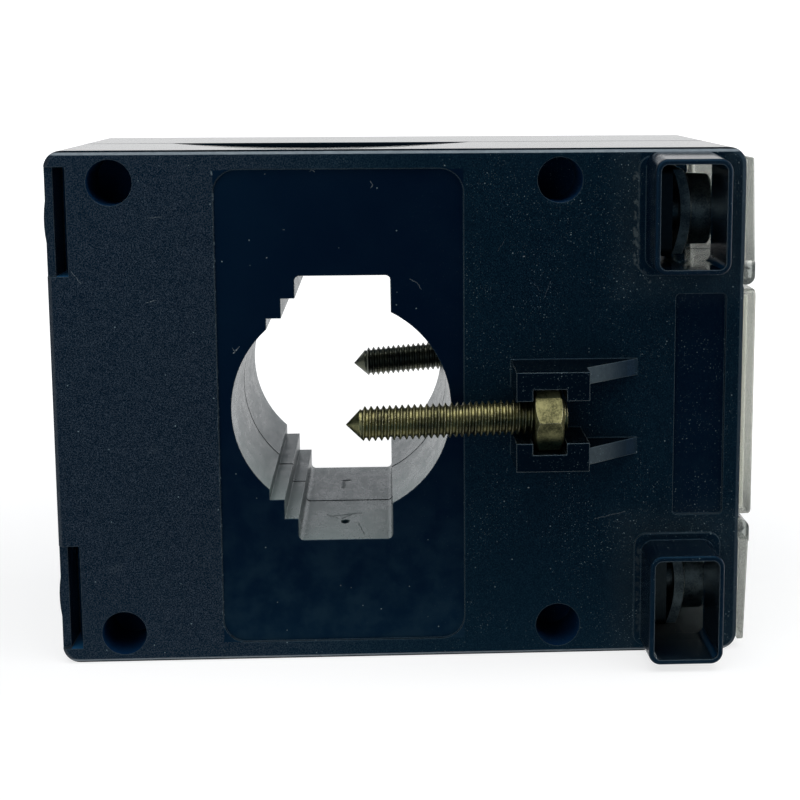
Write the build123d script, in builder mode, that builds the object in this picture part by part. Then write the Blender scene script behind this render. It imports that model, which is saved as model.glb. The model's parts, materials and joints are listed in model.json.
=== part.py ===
from build123d import *
import os

# Window type current transformer in a moulded case of two halves, lying on a long side.
# X runs from the foot side to the terminal end, Y runs along the opening away from the viewer,
# Z runs across the case. The origin is on the opening's axis, on the seam between the halves.
# Each half is drawn as a height above the seam, so its outside face is at half_depth.

os.makedirs("parts", exist_ok=True)

# Case
case_width = 60.0
foot_side = 33.05
terminal_side = 46.75
half_depth = 17.25
corner_radius = 2.0
least_corner = 0.1
edge_chamfer = 0.5
seam_chamfer = 0.15
wall = 2.0
cut_over = 1.0

# Shallow hollow along the upper wall of the front half, where it drew in as it cooled
bow_left = -21.0
bow_right = 16.0
bow_depth = 0.55

# Opening for a round cable or for a flat bar, with two steps on the foot side
bore_radius = 12.7
bar_slot_width = 11.0
bar_slot_reach = 15.6
bar_slot_shift = 0.3
outer_step_width = 1.6
outer_step_reach = 13.0
inner_step_width = 1.7
inner_step_reach = 10.7
opening_corner = 0.6
tube_wall = 1.5

# Toroid inside the case, in the space that the case leaves it
coil_bore_clearance = 0.7
coil_side_clearance = 1.05
pad_thickness = 2.2
tape_thickness = 0.3
winding_thickness = 0.9
winding_gap_angle = 8.0
cup_thickness = 0.35
lead_radius = 0.7
lead_hole_clearance = 0.1
lead_exit_height = 6.0
lead_drop = 3.0
lead_slant = 3.6
lead_bend_radius = 3.0

# Terminals
terminal_inset = 4.65
chamber_half_width = 6.05
chamber_outer_wall = 1.5
chamber_inner_wall = 1.5
chamber_floor = 36.6
chamber_floor_thickness = 2.0
bar_thickness = 2.0
bar_width = 10.6
bar_end_clearance = 0.25
bar_corner = 1.0
tail_width = 5.0
tail_length = 5.0
tail_clearance = 0.1
thread_radius = 2.5
thread_length = 7.8
thread_clearance = 0.05
head_radius = 4.2
head_height = 2.7
head_rounding = 0.4
driver_slot_width = 1.2
driver_slot_depth = 1.3
well_radius = 2.8
well_clearance = 0.6
well_wall = 1.4
washer_width = 9.8
washer_depth = 8.4
washer_thickness = 1.2
washer_bow = 1.0
washer_hole_clearance = 0.2
washer_seat_clearance = 0.03

# Wire entry shrouds on the outside faces
shroud_left = 35.05
shroud_width = 8.6
shroud_margin = 0.95
shroud_length = 12.9
shroud_height = 6.8
shroud_wall = 0.6
shroud_corner = 1.4
shroud_rim_rounding = 0.3
pad_margin = 0.8
pad_height = 0.35

# Clamp screws, their captive nuts and the nut pockets
clamp_radius = 2.0
clamp_length = 25.0
clamp_end_chamfer = 0.4
clamp_slot_width = 0.7
clamp_slot_depth = 1.4
clamp_past_nut = 0.6
clamp_axis_height = 4.6
front_sag = 1.8
rear_sag = 4.8
nut_flats = 7.0
nut_thickness = 3.2
nut_bevel = 0.45
nut_face_radius = 3.35
nut_centre = 23.35
nut_side_clearance = 0.2
nut_end_clearance = 0.3
pocket_left = 19.6
pocket_right = 27.8
pocket_wall = 1.95
pocket_height = 8.1
pocket_gap_clearance = 0.4
gusset_length = 6.6
gusset_height = 5.4

# Sockets near the corners, and the weld pins behind them
socket_radius = 2.6
socket_depth = 8.0
socket_wall = 1.6
socket_inset = 3.6
foot_socket = -25.75
terminal_socket = 25.25
pin_radius = 1.6
pin_height = 2.5
pin_clearance = 0.05
pin_end_clearance = 0.2

# Tongue and groove along the seam
tongue_inset = 1.0
tongue_width = 0.6
tongue_height = 0.8
tongue_clearance = 0.1

# Foot slots on the foot side
foot_slot_margin = 1.8
foot_slot_length = 12.4
foot_slot_depth = 6.0
foot_ledge_width = 0.95
foot_ledge_drop = 0.7
foot_slot_width = 1.5
foot_block_wall = 1.5
detent_radius = 14.5
detent_height = 0.2

# Shallow fields on the outside faces
panel_half_width = 14.2
panel_margin = 2.2
panel_corner = 2.75
panel_depth = 0.4
end_field_margin = 2.1
end_field_width = 5.9
end_field_gap = 2.2
end_field_corner = 0.5
end_field_depth = 0.5

# Clear terminal flaps and the rating window on the end face
cover_thickness = 1.3
flap_end_thickness = 0.95
flap_gap = 0.15
flap_end_margin = 1.2
flap_side_margin = 0.55
cover_rounding = 0.3
hinge_inset = 1.3
barrel_radius = 1.05
knuckle_radius = 1.05
hinge_pin_radius = 0.6
hinge_pin_clearance = 0.05
knuckle_inset = 5.35
knuckle_length = 2.3
knuckle_mouth = 1.0
hinge_side_clearance = 0.15
hinge_groove_clearance = 0.2
plate_start = 1.6
rib_thickness = 0.7
rib_drop = 0.9
rib_side_clearance = 0.3
rib_end_inset = 1.8
window_inset = 1.6
window_thickness = 1.5
window_lip = 0.7
window_corner = 0.8
plate_thickness = 0.5
plate_clearance = 0.2
plate_lift = 0.1
peg_radius = 1.0
peg_clearance = 0.05
peg_inset = 2.8
peg_side_inset = 3.3

# Places that follow from the sizes above
seam = Plane.XZ
face = Plane.XZ.offset(half_depth)
inner_face = half_depth - wall
terminal_offset = inner_face - terminal_inset
case_length = foot_side + terminal_side
case_middle = (terminal_side - foot_side) / 2
half_width = case_width / 2
slot_left = bar_slot_shift - bar_slot_width / 2
chamber_outer = half_width - chamber_outer_wall
terminal_centre = chamber_outer - chamber_half_width
chamber_inner = terminal_centre - chamber_half_width
chamber_back = chamber_floor - chamber_floor_thickness
bar_top = chamber_floor + bar_thickness
head_seat = bar_top + washer_bow + washer_thickness + washer_seat_clearance
well_bottom = head_seat - thread_length - well_clearance
socket_reach = half_width - socket_inset
socket_places = [(x, side * socket_reach) for x in (foot_socket, terminal_socket) for side in (1, -1)]
slot_corner_reach = ((slot_left + bar_slot_width) ** 2 + bar_slot_reach ** 2) ** 0.5
tape_inner_radius = max(slot_corner_reach, bore_radius) + tube_wall + coil_bore_clearance
tape_outer_radius = half_width - wall - coil_side_clearance
tape_half_height = inner_face - pad_thickness
winding_inner_radius = tape_inner_radius + tape_thickness
winding_outer_radius = tape_outer_radius - tape_thickness
winding_half_height = tape_half_height - tape_thickness
cup_inner_radius = winding_inner_radius + winding_thickness
cup_outer_radius = winding_outer_radius - winding_thickness
cup_half_height = winding_half_height - winding_thickness
core_inner_radius = cup_inner_radius + cup_thickness
core_outer_radius = cup_outer_radius - cup_thickness
core_half_height = cup_half_height - cup_thickness
nut_half_space = nut_thickness / 2 + nut_end_clearance
pocket_inner = nut_flats / 2 + nut_side_clearance
pocket_gap = clamp_radius + pocket_gap_clearance
shroud_outer_edge = half_width - shroud_margin
shroud_inner_edge = shroud_outer_edge - shroud_length
foot_slot_end = half_width - foot_slot_margin
foot_slot_start = foot_slot_end - foot_slot_length
panel_half_length = half_width - panel_margin
end_field_right = terminal_side - end_field_margin
end_field_reach = shroud_inner_edge - pad_margin - end_field_gap
cover_top = terminal_side + cover_thickness
flap_bottom = terminal_side + flap_gap
hinge_axis = cover_top - barrel_radius
hinge_centre = chamber_inner - hinge_inset
knuckle_inner = half_depth - knuckle_inset
knuckle_outer = knuckle_inner + knuckle_length
lead_end = (winding_outer_radius ** 2 - (lead_exit_height - lead_radius) ** 2) ** 0.5
flap_edge = half_width - flap_end_margin
half_cover = half_depth - flap_side_margin
window_reach = hinge_centre - window_inset
peg_reach = window_reach - peg_inset
peg_offset = half_cover - peg_side_inset
faces_out = (("front", 1), ("rear", -1))
peg_places = [(y * peg_offset, z * peg_reach) for y in (1, -1) for z in (1, -1)]


def save(piece, name):
    """Labels a finished piece and writes it."""
    piece.label = name
    export_step(piece, f"parts/{name}.step")


def case_outline(inset=0.0, mode=Mode.ADD):
    """The case seen from the front, or the same outline moved in."""
    rounding = max(corner_radius - inset, least_corner)
    with Locations((case_middle, 0)):
        RectangleRounded(case_length - 2 * inset, case_width - 2 * inset, rounding, mode=mode)


def opening_outline():
    """Round hole crossed by the bar slot, with the two steps beside the slot."""
    Circle(bore_radius)
    with Locations((bar_slot_shift, 0)):
        Rectangle(bar_slot_width, 2 * bar_slot_reach)
    with Locations((slot_left, 0)):
        Rectangle(outer_step_width, 2 * outer_step_reach, align=(Align.MAX, Align.CENTER))
    with Locations((slot_left - outer_step_width, 0)):
        Rectangle(inner_step_width, 2 * inner_step_reach, align=(Align.MAX, Align.CENTER))
    fillet(vertices().group_by(Axis.Y)[0] + vertices().group_by(Axis.Y)[-1], opening_corner)


def span(low_x, high_x, near_z, far_z, rounding=0.0, mode=Mode.ADD):
    """Rectangle between two X places and two places along the sketch's other axis."""
    width = high_x - low_x
    height = abs(far_z - near_z)
    with Locations(((low_x + high_x) / 2, (near_z + far_z) / 2)):
        if rounding:
            RectangleRounded(width, height, rounding, mode=mode)
        else:
            Rectangle(width, height, mode=mode)


def mould_shell():
    """Outer block with its edges broken at the face and at the seam, hollowed from the seam."""
    with BuildSketch(seam) as profile:
        case_outline()
    extrude(profile.sketch, amount=half_depth)
    chamfer(faces().sort_by(Axis.Y)[0].edges(), edge_chamfer)
    chamfer(faces().sort_by(Axis.Y)[-1].edges(), seam_chamfer)
    with BuildSketch(seam) as profile:
        span(wall - foot_side, terminal_side - wall, wall - half_width, half_width - wall)
    extrude(profile.sketch, amount=inner_face, mode=Mode.SUBTRACT)


def mould_inside():
    """Tube round the opening, corner posts, terminal walls, thread wells and foot blocks."""
    with BuildSketch(seam) as profile:
        opening_outline()
        offset(amount=tube_wall)
    extrude(profile.sketch, amount=inner_face)
    with BuildSketch(seam) as profile:
        with Locations(*socket_places):
            Circle(socket_radius + socket_wall)
        case_outline(mode=Mode.INTERSECT)
    extrude(profile.sketch, amount=inner_face)
    with BuildSketch(seam) as profile:
        for side in (1, -1):
            wall_start = side * (chamber_inner - chamber_inner_wall)
            span(chamber_back, chamber_floor, wall_start, side * (half_width - wall))
            span(chamber_back, terminal_side, wall_start, side * chamber_inner)
    extrude(profile.sketch, amount=inner_face)
    with BuildSketch(Plane.YZ.offset(chamber_back)) as profile:
        with Locations(*[(-terminal_offset, side * terminal_centre) for side in (1, -1)]):
            Circle(well_radius + well_wall)
    extrude(profile.sketch, amount=well_bottom - well_wall - chamber_back)
    block_right = foot_ledge_width + foot_slot_width + foot_block_wall - foot_side
    with BuildSketch(seam.offset(inner_face)) as profile:
        for side in (1, -1):
            block_start = side * (foot_slot_start - foot_block_wall)
            span(wall - foot_side, block_right, block_start, side * (half_width - wall))
    extrude(profile.sketch, amount=wall - foot_slot_depth - foot_block_wall)


def mould_outside():
    """Shrouds on their pads, the nut pocket with its two gussets, and the low detents on the foot side."""
    shroud_right = shroud_left + shroud_width
    with BuildSketch(face) as profile:
        for side in (1, -1):
            span(shroud_left - pad_margin, shroud_right + pad_margin,
                 side * (shroud_inner_edge - pad_margin), side * shroud_outer_edge, shroud_corner)
    extrude(profile.sketch, amount=pad_height)
    with BuildSketch(face) as profile:
        for side in (1, -1):
            span(shroud_left, shroud_right, side * shroud_inner_edge, side * shroud_outer_edge,
                 shroud_corner)
    extrude(profile.sketch, amount=shroud_height)
    fillet(faces().sort_by(Axis.Y)[:2].edges(), shroud_rim_rounding)
    with BuildSketch(face) as profile:
        span(pocket_left, pocket_right, -pocket_inner - pocket_wall, pocket_inner + pocket_wall)
        span(nut_centre - nut_half_space, nut_centre + nut_half_space, -pocket_inner, pocket_inner,
             mode=Mode.SUBTRACT)
        span(pocket_left, pocket_right, -pocket_gap, pocket_gap, mode=Mode.SUBTRACT)
    extrude(profile.sketch, amount=pocket_height)
    for side in (1, -1):
        with BuildSketch(Plane.XY.offset(side * pocket_inner)) as profile:
            with BuildLine():
                Polyline((pocket_right, -half_depth), (pocket_right + gusset_length, -half_depth),
                         (pocket_right, -half_depth - gusset_height), close=True)
            make_face()
        extrude(profile.sketch, amount=side * pocket_wall)
    with BuildSketch(face) as profile:
        with Locations(*[(detent_radius - detent_height - foot_side,
                          side * (foot_slot_start + foot_slot_length / 2)) for side in (1, -1)]):
            Circle(detent_radius)
        span(-foot_side - cut_over, foot_ledge_width - foot_side, -half_width, half_width,
             mode=Mode.INTERSECT)
    extrude(profile.sketch, amount=-foot_slot_depth)


def mould_knuckles():
    """Grooves in which the barrels of the two clear flaps turn, and the open knuckles between them."""
    groove = barrel_radius + hinge_groove_clearance
    for side in (1, -1):
        with BuildSketch(seam) as profile:
            span(hinge_axis - groove, terminal_side + cut_over, side * (hinge_centre - groove),
                 side * (hinge_centre + groove))
        extrude(profile.sketch, amount=half_cover + hinge_side_clearance, mode=Mode.SUBTRACT)
        with BuildSketch(seam.offset(knuckle_inner)) as profile:
            with Locations((hinge_axis, side * hinge_centre)):
                Circle(knuckle_radius)
            span(terminal_side - wall, hinge_axis, side * (hinge_centre - knuckle_radius),
                 side * (hinge_centre + knuckle_radius))
            with Locations((hinge_axis, side * hinge_centre)):
                Circle(hinge_pin_radius + hinge_pin_clearance, mode=Mode.SUBTRACT)
                Rectangle(2 * knuckle_radius, knuckle_mouth, align=(Align.MIN, Align.CENTER),
                          mode=Mode.SUBTRACT)
        extrude(profile.sketch, amount=knuckle_length)


def cut_inside():
    """Terminal chambers, thread wells, the slots for the bars' tails and the window's peg holes."""
    with BuildSketch(seam) as profile:
        for side in (1, -1):
            span(chamber_floor, terminal_side + cut_over, side * chamber_inner, side * chamber_outer)
    extrude(profile.sketch, amount=inner_face, mode=Mode.SUBTRACT)
    with BuildSketch(Plane.YZ.offset(chamber_floor)) as profile:
        with Locations(*[(-terminal_offset, side * terminal_centre) for side in (1, -1)]):
            Circle(well_radius)
    extrude(profile.sketch, amount=well_bottom - chamber_floor, mode=Mode.SUBTRACT)
    with BuildSketch(seam) as profile:
        for side in (1, -1):
            span(chamber_floor - tail_clearance, bar_top + tail_clearance,
                 side * (chamber_inner - chamber_inner_wall - cut_over), side * (chamber_inner + cut_over))
    extrude(profile.sketch, amount=tail_width / 2 + tail_clearance, mode=Mode.SUBTRACT)
    with BuildSketch(Plane.YZ.offset(terminal_side + cut_over)) as profile:
        with Locations(*[(-peg_offset, side * peg_reach) for side in (1, -1)]):
            Circle(peg_radius + peg_clearance)
    extrude(profile.sketch, amount=-wall - 2 * cut_over, mode=Mode.SUBTRACT)


def cut_outside():
    """Opening, wire entries, corner sockets, foot slots and the shallow fields of the face."""
    with BuildSketch(seam) as profile:
        opening_outline()
    extrude(profile.sketch, amount=half_depth + cut_over, mode=Mode.SUBTRACT)
    with BuildSketch(seam.offset(inner_face - cut_over)) as profile:
        for side in (1, -1):
            span(shroud_left + shroud_wall, shroud_left + shroud_width - shroud_wall,
                 side * (shroud_inner_edge + shroud_wall), side * (shroud_outer_edge - shroud_wall),
                 shroud_corner - shroud_wall)
    extrude(profile.sketch, amount=wall + shroud_height + 2 * cut_over, mode=Mode.SUBTRACT)
    with BuildSketch(face) as profile:
        with Locations(*socket_places):
            Circle(socket_radius)
    extrude(profile.sketch, amount=-socket_depth, mode=Mode.SUBTRACT)
    slot_near = foot_ledge_width - foot_side
    with BuildSketch(face) as profile:
        for side in (1, -1):
            span(slot_near, slot_near + foot_slot_width, side * foot_slot_start, side * foot_slot_end)
    extrude(profile.sketch, amount=-foot_slot_depth, mode=Mode.SUBTRACT)
    with BuildSketch(face) as profile:
        for side in (1, -1):
            span(-foot_side - cut_over, slot_near, side * foot_slot_start, side * foot_slot_end)
    extrude(profile.sketch, amount=-foot_ledge_drop, mode=Mode.SUBTRACT)
    with BuildSketch(face) as profile:
        RectangleRounded(2 * panel_half_width, 2 * panel_half_length, panel_corner)
    extrude(profile.sketch, amount=-panel_depth, mode=Mode.SUBTRACT)
    with BuildSketch(face) as profile:
        span(end_field_right - end_field_width, end_field_right, -end_field_reach, end_field_reach,
             end_field_corner)
    extrude(profile.sketch, amount=-end_field_depth, mode=Mode.SUBTRACT)


def bow_wall():
    """Shallow hollow in the upper wall, deepest at the seam and gone at the face."""
    bow_middle = (bow_left + bow_right) / 2
    with BuildSketch(seam) as profile:
        with BuildLine():
            ThreePointArc((bow_left, half_width), (bow_middle, half_width - bow_depth),
                          (bow_right, half_width))
            Polyline((bow_right, half_width), (bow_right, half_width + cut_over),
                     (bow_left, half_width + cut_over), (bow_left, half_width))
        make_face()
    towards_face = Vector(0, -half_depth, bow_depth)
    extrude(profile.sketch, amount=half_depth + cut_over, dir=towards_face, mode=Mode.SUBTRACT)


def mould_half():
    """One half of the case, drawn as the front one."""
    mould_shell()
    mould_inside()
    mould_outside()
    mould_knuckles()
    cut_inside()
    cut_outside()


def seam_band(inset, band_width):
    """Band along the foot side and the two long walls, where the halves lock together."""
    case_outline(inset)
    case_outline(inset + band_width, mode=Mode.SUBTRACT)
    span(chamber_back, terminal_side, -half_width, half_width, mode=Mode.SUBTRACT)


with BuildPart() as front_shell:
    mould_half()
    bow_wall()
    with BuildSketch(seam):
        with Locations(*socket_places):
            Circle(pin_radius)
    extrude(amount=-pin_height)
    with BuildSketch(seam):
        seam_band(tongue_inset, tongue_width)
    extrude(amount=-tongue_height)
save(front_shell.part, "front_shell")

with BuildPart() as rear_shell:
    mould_half()
    with BuildSketch(seam):
        with Locations(*socket_places):
            Circle(pin_radius + pin_clearance)
    extrude(amount=pin_height + pin_end_clearance, mode=Mode.SUBTRACT)
    with BuildSketch(seam):
        seam_band(tongue_inset - tongue_clearance, tongue_width + 2 * tongue_clearance)
    extrude(amount=tongue_height + tongue_clearance, mode=Mode.SUBTRACT)
    mirror(about=Plane.XZ, mode=Mode.REPLACE)
save(rear_shell.part, "rear_shell")


with BuildPart() as ring_core:
    with BuildSketch(Plane.XY):
        span(core_inner_radius, core_outer_radius, -core_half_height, core_half_height)
    revolve(axis=Axis.Y)
save(ring_core.part, "ring_core")

# Insulating cups that close round the core at the seam
for face_name, out in faces_out:
    with BuildPart() as core_cup:
        with BuildSketch(Plane.XY):
            span(cup_inner_radius, cup_outer_radius, 0, -out * cup_half_height)
            span(core_inner_radius, core_outer_radius, 0, -out * core_half_height, mode=Mode.SUBTRACT)
        revolve(axis=Axis.Y)
    save(core_cup.part, f"core_cup_{face_name}")

# Winding over the cups, with a gap towards the terminals between its first and last turn
with BuildPart() as secondary_winding:
    with BuildSketch(Plane.XY.rotated((0, winding_gap_angle / 2, 0))):
        span(winding_inner_radius, winding_outer_radius, -winding_half_height, winding_half_height)
        span(cup_inner_radius, cup_outer_radius, -cup_half_height, cup_half_height, mode=Mode.SUBTRACT)
    revolve(axis=Axis.Y, revolution_arc=360 - winding_gap_angle)
save(secondary_winding.part, "secondary_winding")

# Tape over the winding, with a hole for each lead
with BuildPart() as winding_tape:
    with BuildSketch(Plane.XY):
        span(tape_inner_radius, tape_outer_radius, -tape_half_height, tape_half_height)
        span(winding_inner_radius, winding_outer_radius, -winding_half_height, winding_half_height,
             mode=Mode.SUBTRACT)
    revolve(axis=Axis.Y)
    with BuildSketch(Plane.YZ.offset(lead_end)):
        with Locations(*[(0, side * lead_exit_height) for side in (1, -1)]):
            Circle(lead_radius + lead_hole_clearance)
    extrude(amount=tape_outer_radius + cut_over - lead_end, mode=Mode.SUBTRACT)
save(winding_tape.part, "winding_tape")

# Soft rings that seat the coil between the two faces of the case
for face_name, out in faces_out:
    with BuildPart() as core_pad:
        with BuildSketch(seam.offset(out * tape_half_height)):
            Circle(tape_outer_radius)
            Circle(tape_inner_radius, mode=Mode.SUBTRACT)
        extrude(amount=out * pad_thickness)
    save(core_pad.part, f"core_pad_{face_name}")

# Terminal bars with a tail into the core space, and the lead soldered to each tail
for row_name, side, lead_name in (("upper", 1, "start_lead"), ("lower", -1, "finish_lead")):
    bar_inner_edge = side * (terminal_centre - bar_width / 2)
    with BuildPart() as terminal_bar:
        with BuildSketch(Plane.YZ.offset(chamber_floor)):
            with Locations((0, side * terminal_centre)):
                RectangleRounded(2 * (inner_face - bar_end_clearance), bar_width, bar_corner)
            with Locations((0, bar_inner_edge)):
                Rectangle(tail_width, 2 * tail_length)
            with Locations(*[(out * terminal_offset, side * terminal_centre) for out in (1, -1)]):
                Circle(thread_radius + thread_clearance, mode=Mode.SUBTRACT)
        extrude(amount=bar_thickness)
    save(terminal_bar.part, f"terminal_bar_{row_name}")

    tail_end = bar_inner_edge - side * tail_length
    tail_middle = chamber_floor + bar_thickness / 2
    with BuildPart() as lead:
        with BuildLine(Plane.XZ) as route:
            FilletPolyline((tail_middle, tail_end),
                           (tail_middle, tail_end - side * lead_drop),
                           (tail_middle - lead_slant, side * lead_exit_height),
                           (lead_end, side * lead_exit_height), radius=lead_bend_radius)
        with BuildSketch(Plane(origin=route.line @ 0, z_dir=route.line % 0)):
            Circle(lead_radius)
        sweep(path=route.line)
    save(lead.part, lead_name)

# Terminal screws with their arched clamp washers
for row_name, side in (("upper", 1), ("lower", -1)):
    for face_name, out in faces_out:
        place = (-out * terminal_offset, side * terminal_centre)
        with BuildPart() as terminal_screw:
            with BuildSketch(Plane.YZ.offset(head_seat)):
                with Locations(place):
                    Circle(head_radius)
            extrude(amount=head_height)
            fillet(edges().sort_by(Axis.X)[-1], head_rounding)
            with BuildSketch(Plane.YZ.offset(head_seat + head_height)):
                with Locations(place):
                    Rectangle(driver_slot_width, 2 * head_radius)
            extrude(amount=-driver_slot_depth, mode=Mode.SUBTRACT)
            with BuildSketch(Plane.YZ.offset(head_seat)):
                with Locations(place):
                    Circle(thread_radius)
            extrude(amount=-thread_length)
            chamfer(edges().sort_by(Axis.X)[0], head_rounding)
        save(terminal_screw.part, f"terminal_screw_{row_name}_{face_name}")

        low = side * terminal_centre - washer_width / 2
        high = side * terminal_centre + washer_width / 2
        washer_top = bar_top + washer_thickness
        with BuildPart() as clamp_washer:
            with BuildSketch(seam.offset(out * terminal_offset)):
                with BuildLine():
                    ThreePointArc((bar_top, low), (bar_top + washer_bow, side * terminal_centre),
                                  (bar_top, high))
                    Line((bar_top, high), (washer_top, high))
                    ThreePointArc((washer_top, high), (washer_top + washer_bow, side * terminal_centre),
                                  (washer_top, low))
                    Line((washer_top, low), (bar_top, low))
                make_face()
            extrude(amount=washer_depth / 2, both=True)
            with BuildSketch(Plane.YZ.offset(bar_top - cut_over)):
                with Locations(place):
                    Circle(thread_radius + washer_hole_clearance)
            extrude(amount=washer_bow + washer_thickness + 2 * cut_over, mode=Mode.SUBTRACT)
        save(clamp_washer.part, f"clamp_washer_{row_name}_{face_name}")

# Clamp screws and their nuts, which hang a little low in the pockets
for face_name, out, sag in (("front", 1, front_sag), ("rear", -1, rear_sag)):
    centre = Vector(nut_centre, -out * (half_depth + clamp_axis_height), 0)
    along = Vector(-1, 0, 0).rotate(Axis.Y, -sag)
    section = Plane(origin=centre, x_dir=along, z_dir=(0, 1, 0))
    half_nut = nut_thickness / 2
    corner = nut_flats / 3 ** 0.5
    with BuildPart() as clamp_nut:
        with BuildSketch(Plane(origin=centre - along * half_nut, x_dir=(0, 1, 0), z_dir=along)):
            RegularPolygon(nut_flats / 2, 6, major_radius=False)
            Circle(clamp_radius + thread_clearance, mode=Mode.SUBTRACT)
        extrude(amount=nut_thickness)
        with BuildSketch(section):
            with BuildLine():
                Polyline((-half_nut, 0), (-half_nut, nut_face_radius), (nut_bevel - half_nut, corner),
                         (half_nut - nut_bevel, corner), (half_nut, nut_face_radius), (half_nut, 0),
                         close=True)
            make_face()
        revolve(axis=Axis(centre, along), mode=Mode.INTERSECT)
    save(clamp_nut.part, f"clamp_nut_{face_name}")

    back = -half_nut - clamp_past_nut
    tip = back + clamp_length
    with BuildPart() as clamp_screw:
        with BuildSketch(section):
            with BuildLine():
                Polyline((back, 0), (back, clamp_radius - clamp_end_chamfer),
                         (back + clamp_end_chamfer, clamp_radius), (tip - clamp_radius, clamp_radius),
                         (tip, 0), close=True)
            make_face()
        revolve(axis=Axis(centre, along))
        with BuildSketch(Plane(origin=centre + along * back, x_dir=(0, 1, 0), z_dir=along)):
            Rectangle(clamp_slot_width, 2 * (clamp_radius + cut_over))
        extrude(amount=clamp_slot_depth, mode=Mode.SUBTRACT)
    save(clamp_screw.part, f"clamp_screw_{face_name}")

# Clear flaps over the terminals, thinner towards the free end, each with a barrel in three
# lengths on one pin moulded along it
half_barrel = knuckle_inner - hinge_side_clearance
outer_barrel = knuckle_outer + hinge_side_clearance
flap_end_top = terminal_side + flap_end_thickness
for row_name, side in (("upper", 1), ("lower", -1)):
    plate_edge = side * (hinge_centre + plate_start)
    with BuildPart() as terminal_flap:
        with BuildSketch(seam):
            with BuildLine():
                Polyline((flap_bottom, plate_edge), (cover_top, plate_edge),
                         (flap_end_top, side * flap_edge), (flap_bottom, side * flap_edge), close=True)
            make_face()
        extrude(amount=half_cover, both=True)
        top_edges = faces().sort_by(Axis.X)[-1].edges()
        fillet(top_edges.sort_by(Axis.Z, reverse=side < 0)[1:], cover_rounding)
        for start, end in ((-half_cover, -outer_barrel), (-half_barrel, half_barrel),
                           (outer_barrel, half_cover)):
            with BuildSketch(seam.offset(start)):
                with Locations((hinge_axis, side * hinge_centre)):
                    Circle(barrel_radius)
                span(flap_bottom, cover_top, side * hinge_centre, plate_edge)
            extrude(amount=end - start)
        with BuildSketch(seam):
            with Locations((hinge_axis, side * hinge_centre)):
                Circle(hinge_pin_radius)
        extrude(amount=outer_barrel, both=True)
        for out in (1, -1):
            with BuildSketch(seam.offset(out * (inner_face - rib_side_clearance))):
                span(flap_bottom - rib_drop, flap_bottom, side * (chamber_inner + rib_end_inset),
                     side * (chamber_outer - rib_end_inset))
            extrude(amount=-out * rib_thickness)
    save(terminal_flap.part, f"terminal_flap_{row_name}")

# Clear window over the rating plate, held by four pegs in the end wall
plate_space = plate_thickness + plate_lift
with BuildPart() as rating_window:
    with BuildSketch(Plane.YZ.offset(terminal_side)):
        RectangleRounded(2 * half_cover, 2 * window_reach, window_corner)
    extrude(amount=window_thickness)
    fillet(faces().sort_by(Axis.X)[-1].edges(), cover_rounding)
    with BuildSketch(Plane.YZ.offset(terminal_side)):
        Rectangle(2 * (half_cover - window_lip), 2 * (window_reach - window_lip))
    extrude(amount=plate_space, mode=Mode.SUBTRACT)
    with BuildSketch(Plane.YZ.offset(terminal_side + plate_space)):
        with Locations(*peg_places):
            Circle(peg_radius)
    extrude(amount=-plate_space - wall)
save(rating_window.part, "rating_window")

with BuildPart() as rating_plate:
    with BuildSketch(Plane.YZ.offset(terminal_side)):
        Rectangle(2 * (half_cover - window_lip - plate_clearance),
                  2 * (window_reach - window_lip - plate_clearance))
        with Locations(*peg_places):
            Circle(peg_radius + plate_clearance, mode=Mode.SUBTRACT)
    extrude(amount=plate_thickness)
save(rating_plate.part, "rating_plate")
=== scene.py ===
import json
import math

import bmesh
import bpy
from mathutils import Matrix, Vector


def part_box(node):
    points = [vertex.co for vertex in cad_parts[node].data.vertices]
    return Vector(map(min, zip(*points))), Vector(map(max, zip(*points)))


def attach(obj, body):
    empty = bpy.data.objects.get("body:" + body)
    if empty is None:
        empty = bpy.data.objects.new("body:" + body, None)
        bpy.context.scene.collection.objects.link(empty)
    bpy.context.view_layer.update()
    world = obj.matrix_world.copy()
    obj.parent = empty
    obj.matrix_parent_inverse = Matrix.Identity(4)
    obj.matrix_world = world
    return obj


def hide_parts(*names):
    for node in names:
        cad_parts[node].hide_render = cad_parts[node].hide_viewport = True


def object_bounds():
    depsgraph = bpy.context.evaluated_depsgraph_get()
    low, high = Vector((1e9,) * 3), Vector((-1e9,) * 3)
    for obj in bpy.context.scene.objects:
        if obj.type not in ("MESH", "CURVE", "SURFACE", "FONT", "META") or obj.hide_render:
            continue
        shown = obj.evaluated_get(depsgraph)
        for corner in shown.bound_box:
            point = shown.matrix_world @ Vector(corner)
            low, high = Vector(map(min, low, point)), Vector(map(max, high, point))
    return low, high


# Window type current transformer: the solids keep their shapes and get their finishes here,
# and the clamp screws get real threads. Lengths are in metres, as in the frame.

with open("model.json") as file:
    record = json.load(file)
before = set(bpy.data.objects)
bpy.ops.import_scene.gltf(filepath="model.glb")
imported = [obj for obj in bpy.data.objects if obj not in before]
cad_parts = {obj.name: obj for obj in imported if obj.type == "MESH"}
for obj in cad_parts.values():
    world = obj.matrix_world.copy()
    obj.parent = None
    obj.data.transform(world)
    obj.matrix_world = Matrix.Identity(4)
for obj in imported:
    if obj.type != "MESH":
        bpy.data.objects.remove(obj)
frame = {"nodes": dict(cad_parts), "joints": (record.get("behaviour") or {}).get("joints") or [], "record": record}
cad_low, cad_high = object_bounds()
nodes = frame["nodes"]
MM = 0.001
TINY = 1e-6

# Sizes that the finishes follow, in millimetres. The case's two halves and its two long sides
# mirror each other, so a distance along Y or Z stands for both of them.
half_depth = 17.25
half_width = 30.0
edge_chamfer = 0.5
panel_half_width = 14.2
panel_half_length = 27.8
opening_reach = 17.0
# Shallow field beside the terminal end, and what lies this near the outer face counts as on it
end_field_x = (38.75, 44.65)
end_field_half_length = 13.15
face_skin = 1.0
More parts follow.
